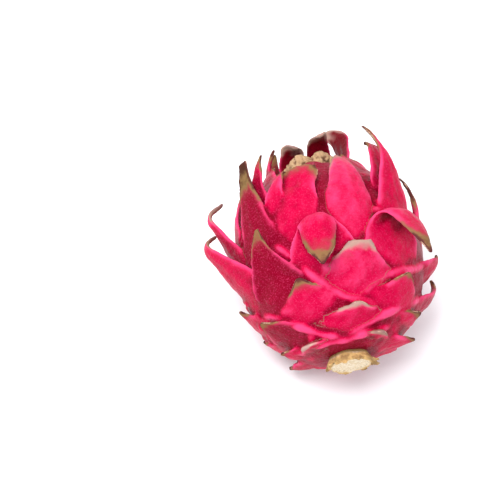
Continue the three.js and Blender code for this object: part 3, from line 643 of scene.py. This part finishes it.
dry_all = maths(tree, "MAXIMUM", dry_tip, rim)
gloss = node(tree, "MapRange", Value=maths(tree, "ADD", dry_all, maths(tree, "MULTIPLY", patchy, 0.15)))
gloss.inputs["To Min"].default_value = 0.38
gloss.inputs["To Max"].default_value = 0.8
tree.links.new(gloss.outputs["Result"], surface.inputs["Roughness"])
relief = node(tree, "Bump", Strength=0.6, Distance=0.0007,
              Height=maths(tree, "ADD", fine, maths(tree, "MULTIPLY", patchy, 2.0)))
tree.links.new(relief.outputs["Normal"], surface.inputs["Normal"])
surface.inputs["Specular IOR Level"].default_value = 0.07
surface.inputs["Specular Tint"].default_value = (1, 0.3, 0.42, 1)
fruit.data.materials.clear()
fruit.data.materials.append(skin_paint)
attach(fruit, "root")
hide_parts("fruit")

# ---- The stem stub -------------------------------------------------------------------------------
# The woody stub of the stem, cut through when the fruit was picked: a pale fibrous face in a ragged
# ring of olive-brown bark, with a few torn flaps of dry skin. It sits in the dimple at the stem end.
stem_pole = -(half_length - stem_dimple[0])
stub_squeeze = 0.86
stub_cell = 0.00036
bark_reach = 10.5
bark_height = 8


def stump(end, pole, radius, squeeze, levels, lumps, swell, ragged, seed, rows=60, count=120):
    """A lumpy disc on a pole. Its radius at each height runs through the given levels, and waves
    round by a sine of so many lumps; the ragged part adds finer waves to the radius and height."""
    share = np.linspace(0, len(levels) - 1, rows)[:, None]
    heights, shares = np.array(levels).T
    around = np.linspace(0, 2 * np.pi, count, endpoint=False)[None, :]
    height = np.interp(share, np.arange(len(levels)), heights)
    reach = radius * np.interp(share, np.arange(len(levels)), shares)
    wave = sum(np.sin(k * around + seed * k * k) / k**0.6 for k in (3, 5, 8, 13, 21))
    upper = smoothstep(height, 2.0, max(heights) * 0.8)
    reach = reach * (1 + swell * np.sin(lumps * around) + 0.03 * ragged * wave * upper)
    rim = np.exp(-(((reach / radius - 1) / 0.3) ** 2)) * upper
    height = height + ragged * (0.45 * wave * rim + 0.12 * np.sin(5 * reach + 3 * wave) * upper)
    x, z = reach * np.sin(around), reach * squeeze * np.cos(around)
    return np.stack([end * x, pole + end * height, z], -1).reshape(-1, 3), tube_faces(rows, count)


def flap(end, pole, radius, squeeze, around, start, length, width, thick, lean, curl, rows=18):
    """A thin torn strip rising from a rim: a flat tube whose middle line bends by `curl` degrees."""
    along = np.linspace(0, 1, rows)[:, None]
    ring = np.linspace(0, 2 * np.pi, 20, endpoint=False)[None, :]
    turn = np.radians(lean + curl * along)
    outward = radius + np.concatenate([[[0]], np.cumsum(np.sin(turn[1:]), 0)]) * length / rows
    height = start + np.concatenate([[[0]], np.cumsum(np.cos(turn[1:]), 0)]) * length / rows
    tear = 1 - 0.75 * along**2 + 0.12 * np.sin(13 * along + around)
    across = width / 2 * tear * np.cos(ring)
    face = thick / 2 * np.sin(ring)
    outward, height = outward + face * np.cos(turn), height - face * np.sin(turn)
    turn_to = math.radians(around)
    x = outward * math.sin(turn_to) + across * math.cos(turn_to)
    z = (outward * math.cos(turn_to) - across * math.sin(turn_to)) * squeeze
    points = np.stack([end * x, pole + end * height, z], -1)
    return points.reshape(-1, 3), tube_faces(rows, 20)


def joined(parts, name):
    """Parts of one piece, laid in the resting place as one mesh."""
    starts = np.cumsum([0] + [len(points) for points, _ in parts])
    faces = [[start + v for v in face] for start, (_, faces) in zip(starts, parts) for face in faces]
    return mesh_object(name, laid(np.concatenate([points for points, _ in parts])), faces)


stub_rim = dict(end=-1, pole=stem_pole, radius=9.6, squeeze=stub_squeeze)
stub_levels = [(-5, 0.78), (1, 0.9), (4.2, 1.03), (6.3, 1), (5.3, 0.84), (5.0, 0.5), (5.6, 0.06)]
parts = [stump(-1, stem_pole, radius=10.3, squeeze=stub_squeeze, levels=stub_levels, lumps=5, swell=0.05,
               ragged=1.0, seed=2)]
parts += [flap(around=a, start=2.5, length=l, width=w, thick=1.0, lean=lean, curl=c, **stub_rim)
          for a, l, w, lean, c in ((252, 7, 8, 35, 55), (284, 6, 7, 20, 70), (312, 5.5, 7, 30, 20),
                                   (345, 5, 8, 10, 30), (20, 5.5, 7, 0, 40), (60, 5, 8, 15, 50),
                                   (110, 4.5, 8, 25, 40), (165, 4.5, 9, 30, 30), (215, 5.5, 8, 30, 50))]
bark = joined(parts, "bark")
stub, points, ends = fused(bark, stub_cell, "cut_stub")
points = relaxed(points, ends, 0.5, 2)
facing = normals(stub.data)
x, y, z = points.T * metre
crackle = np.sin(2.1 * x + 1.7 * np.sin(1.3 * z + y)) * np.sin(1.9 * z + 1.1 * np.sin(1.7 * x))
points = points + facing * (0.12 * crackle)[:, None] * millimetre
wide = relaxed(points, ends, 0.7, 25)
swell = np.einsum("ij,ij->i", points - wide, facing) * metre
stub.data.vertices.foreach_set("co", points.astype(np.float32).ravel())


def upright(points):
    """The way back from the resting place, well above the floor, to upright-fruit millimetres."""
    x, y, z = (points * metre - fruit_centre + [0, 0, floor_drop]).T
    back_y = y * math.cos(axis_rise) + z * math.sin(axis_rise)
    return x, back_y, z * math.cos(axis_rise) - y * math.sin(axis_rise)


x, y, z = upright(points)
height = (stem_pole - y) / bark_height
reach = np.hypot(x, z / stub_squeeze) / bark_reach
zones = np.stack([reach, height, np.clip(0.5 + swell / 1.2, 0, 1), 1 + 0 * x], -1)
colour_layer(stub.data, "zones", zones)
bpy.data.objects.remove(bark)
stub.data.polygons.foreach_set("use_smooth", np.ones(len(stub.data.polygons), bool))

# Dry plant fibre: coarse lumps and fine fibres of noise, and the height that the two add up to. The
# stub and the flower base each place it with their own values.
dry_fibre, given, made = shading_group(
    "dry_fibre",
    (("Place", "Vector"), ("Lumps", "Float"), ("Lump Detail", "Float"), ("Lump Roughness", "Float"),
     ("Fibres", "Float")),
    (("Coarse", "Float"), ("Fibre", "Float"), ("Height", "Float")))
coarse = noise(dry_fibre, given["Place"], given["Lumps"], given["Lump Detail"], given["Lump Roughness"])
fibre = noise(dry_fibre, given["Place"], given["Fibres"], 3.0, 0.7)
raised = maths(dry_fibre, "ADD", fibre, coarse)
for title, value in (("Coarse", coarse), ("Fibre", fibre), ("Height", raised)):
    dry_fibre.links.new(value, made[title])

stem_paint, tree, surface = material("cut_stem")
where = node(tree, "TexCoord").outputs["Object"]
zones = node(tree, "SeparateColor", Color=node(tree, "Attribute", dict(attribute_name="zones")).outputs[0])
reach, height, level = (zones.outputs[k] for k in ("Red", "Green", "Blue"))
dry = node(tree, "Group", dict(node_tree=dry_fibre), Place=where, Lumps=260.0, Fibres=1100.0,
           **{"Lump Detail": 4.0, "Lump Roughness": 0.6}).outputs
coarse, fibre = dry["Coarse"], dry["Fibre"]
ring_at = swayed(tree, reach, coarse, 0.35)
colour = mixed(tree, ramp(tree, fibre, 0.35, 0.7), linear(206, 184, 148), linear(232, 220, 198))
colour = mixed(tree, ramp(tree, ring_at, 0.84, 0.98), colour, linear(196, 160, 104))
bark_at = maths(tree, "MULTIPLY", ramp(tree, ring_at, 0.94, 1.08), ramp(tree, coarse, 0.3, 0.6))
colour = washed(tree, bark_at, 0.75, colour, linear(118, 88, 56))
colour = mixed(tree, ramp(tree, height, 0.32, 0.12), colour, linear(128, 100, 60))
# Painted shade in the stub's hollows.
colour = node(tree, "Group", dict(node_tree=painted_hollow_shade), Colour=colour, Height=level, Starts=0.42,
              Full=0.2, Strength=0.85, Dark=linear(58, 36, 26)).outputs["Colour"]
tree.links.new(colour, surface.inputs["Base Color"])
surface.inputs["Roughness"].default_value = 0.85
surface.inputs["Specular IOR Level"].default_value = 0.2
relief = node(tree, "Bump", Strength=0.6, Distance=0.0005, Height=dry["Height"])
tree.links.new(relief.outputs["Normal"], surface.inputs["Normal"])
stub.data.materials.append(stem_paint)
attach(stub, "root")
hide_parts("stem_stub")

# ---- The withered flower --------------------------------------------------------------------------
# The dry base of the flower, where the petals tore away: a lumpy ring of tan cork round a hollow
# that painted shade darkens, held in the dimple at the flower end between the last scales.
flower_pole = half_length - flower_dimple[0]
cork_squeeze = 0.8
cork_cell = 0.00042
cork_levels = [(-4, 0.75), (3, 0.92), (8, 1.02), (10.6, 0.92), (9.5, 0.66), (6.5, 0.45), (5.5, 0.06)]
parts = [stump(1, flower_pole, radius=13.6, squeeze=cork_squeeze, levels=cork_levels, lumps=7, swell=0.07,
               ragged=1.0, seed=5)]


def lump(around, reach, height, size, rows=16, count=24):
    """A ball of cork, a little taller than it is wide, placed round the flower's axis."""
    v = np.linspace(0.05, np.pi - 0.05, rows)[:, None]
    u = np.linspace(0, 2 * np.pi, count, endpoint=False)[None, :]
    turn_to = math.radians(around)
    x = size * np.sin(v) * np.cos(u) + reach * math.sin(turn_to)
    z = size * np.sin(v) * np.sin(u) + reach * cork_squeeze * math.cos(turn_to)
    y = flower_pole + height + 1.1 * size * np.cos(v) + 0 * u
    return np.stack([x, y, z], -1).reshape(-1, 3), tube_faces(rows, count)


parts += [lump(*spot) for spot in (
    (312, 11.0, 10.5, 3.0), (328, 10.8, 11.5, 3.2), (343, 10.8, 10.6, 2.6), (358, 11.0, 8.6, 2.3),
    (12, 10.8, 10.2, 2.7), (27, 10.6, 12.0, 3.2), (43, 11.2, 11.4, 2.8), (58, 12.2, 10.0, 2.8),
    (76, 13.0, 9.0, 2.5), (92, 11.6, 9.2, 2.8), (120, 11.0, 9.8, 3.2),
    (150, 10.6, 9.2, 3.0), (182, 10.8, 9.8, 3.3), (212, 10.6, 9.0, 2.8), (240, 11.4, 9.6, 3.0),
    (268, 11.6, 9.0, 3.0), (294, 11.2, 9.6, 2.8))]
cork = joined(parts, "cork")
remnant, points, ends = fused(cork, cork_cell, "dry_flower_base")
points = relaxed(points, ends, 0.5, 2)
facing = normals(remnant.data)
x, y, z = points.T * metre
crackle = np.sin(1.3 * x + 1.6 * np.sin(1.1 * z + 0.7 * y)) * np.sin(1.5 * z + 1.4 * np.sin(1.2 * x))
crackle = 0.3 * crackle + 0.12 * np.sin(3.3 * x + 2.0 * np.sin(2.6 * y)) * np.sin(3.1 * z + 1.9 * y)
points = points + facing * crackle[:, None] * millimetre
wide = relaxed(points, ends, 0.7, 40)
swell = np.einsum("ij,ij->i", points - wide, facing) * metre
remnant.data.vertices.foreach_set("co", points.astype(np.float32).ravel())
colour_layer(remnant.data, "swell", np.clip(0.5 + swell / 1.8, 0, 1))
bpy.data.objects.remove(cork)
remnant.data.polygons.foreach_set("use_smooth", np.ones(len(remnant.data.polygons), bool))

cork_paint, tree, surface = material("flower_cork")
where = node(tree, "TexCoord").outputs["Object"]
level = node(tree, "Attribute", dict(attribute_name="swell")).outputs["Fac"]
dry = node(tree, "Group", dict(node_tree=dry_fibre), Place=where, Lumps=220.0, Fibres=900.0,
           **{"Lump Detail": 5.0, "Lump Roughness": 0.65}).outputs
coarse, fibre = dry["Coarse"], dry["Fibre"]
# Lower places are darker brown and raised ones tan: painted shade, with the coarse noise adding the cork's
# own patches.
height = swayed(tree, level, coarse, 0.5)
colour = mixed(tree, ramp(tree, height, 0.3, 0.66), linear(108, 74, 54), linear(182, 148, 112))
colour = washed(tree, ramp(tree, fibre, 0.5, 0.75), 0.55, colour, linear(208, 184, 150))
colour = washed(tree, ramp(tree, coarse, 0.44, 0.34), 0.7, colour, linear(104, 66, 48))
# Painted shade in the flower base's hollows.
colour = node(tree, "Group", dict(node_tree=painted_hollow_shade), Colour=colour, Height=height, Starts=0.34,
              Full=0.14, Strength=1.0, Dark=linear(60, 34, 24)).outputs["Colour"]
tree.links.new(colour, surface.inputs["Base Color"])
surface.inputs["Roughness"].default_value = 0.9
surface.inputs["Specular IOR Level"].default_value = 0.15
relief = node(tree, "Bump", Strength=0.7, Distance=0.0006, Height=dry["Height"])
tree.links.new(relief.outputs["Normal"], surface.inputs["Normal"])
remnant.data.materials.append(cork_paint)
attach(remnant, "root")
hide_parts("flower_remnant")

# ---- The white surface, the light and the camera ------------------------------------------------
# A seamless white table under a large soft light from above and to the left.
half_table = 2500
corners = [[half_table * x, half_table * y, 0] for x, y in ((-1, -1), (1, -1), (1, 1), (-1, 1))]
floor = mesh_object("floor", corners, [[0, 1, 2, 3]])
paper, tree, surface = material("white_paper")
surface.inputs["Base Color"].default_value = (0.9, 0.9, 0.92, 1)
surface.inputs["Roughness"].default_value = 0.9
surface.inputs["Specular IOR Level"].default_value = 0.2
floor.data.materials.append(paper)
floor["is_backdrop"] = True

world = bpy.data.worlds.new("room")
bpy.context.scene.world = world
world.use_nodes = True
world.node_tree.nodes["Background"].inputs["Color"].default_value = (0.97, 0.98, 1, 1)
world.node_tree.nodes["Background"].inputs["Strength"].default_value = 1.08


def softbox(name, place, aim, size, power):
    """A square lamp whose face, its -Z, is turned towards the point it aims at."""
    light = bpy.data.lights.new(name, "AREA")
    light.size = size
    light.energy = power
    lamp = bpy.data.objects.new(name, light)
    lamp.location = place
    direction = np.array(aim) - np.array(place)
    across, forward, upward = direction
    lamp.rotation_euler = (
        math.atan2(math.hypot(across, forward), -upward),
        0,
        math.atan2(-across, forward),
    )
    bpy.context.scene.collection.objects.link(lamp)


softbox("key", (-0.24, -0.06, 1.0), (0, 0, 0.04), 0.5, 10)

camera = bpy.data.objects.new("camera", bpy.data.cameras.new("camera"))
camera.data.sensor_width = 36
camera.data.lens = 89.28
camera.location = (-0.08373, -0.30382, 0.58292)
camera.rotation_euler = (math.radians(30), 0, math.radians(-9))
bpy.context.scene.collection.objects.link(camera)
bpy.context.scene.camera = camera
bpy.context.scene.view_settings.view_transform = "Standard"

low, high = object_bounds()
